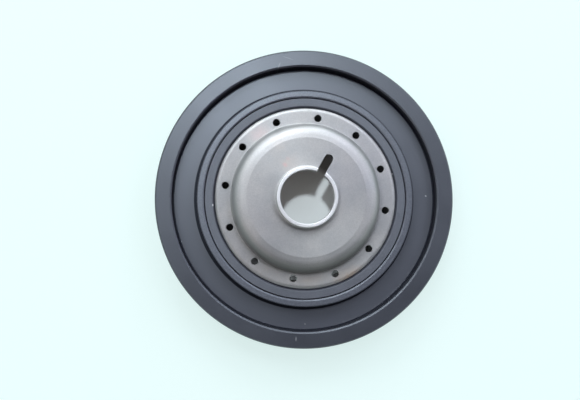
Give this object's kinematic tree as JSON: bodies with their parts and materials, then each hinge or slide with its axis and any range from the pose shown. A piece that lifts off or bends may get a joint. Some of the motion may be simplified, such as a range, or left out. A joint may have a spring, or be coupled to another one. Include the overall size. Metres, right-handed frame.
{
  "type": "harmonic balancer",
  "caption": "Crankshaft pulley and torsional damper: a domed steel hub with a keyed bore, a rubber ring, and a heavy outer ring with a grooved belt track.",
  "frame": {"origin": "on the crankshaft's axis, at the rear face of the pulley ring, which the part rests on", "axes": "+Z along the axis, out of the hub's collar; +Y from the axis along the key slot; +X completes a right-handed frame"},
  "size_m": [0.172, 0.172, 0.046],
  "materials": {
    "slate_paint": "semi-matt slate-grey paint over turned cast iron, with fine scuffs",
    "rubber": "matt rubber with a grainy skin, greyed by overspray",
    "bare_steel": "bare drawn sheet steel, satin, with faint brown handling stains"
  },
  "bodies": {
    "root": {"hub": "bare_steel", "rubber_ring": "rubber", "pulley_ring": "slate_paint"}
  },
  "joints": []
}
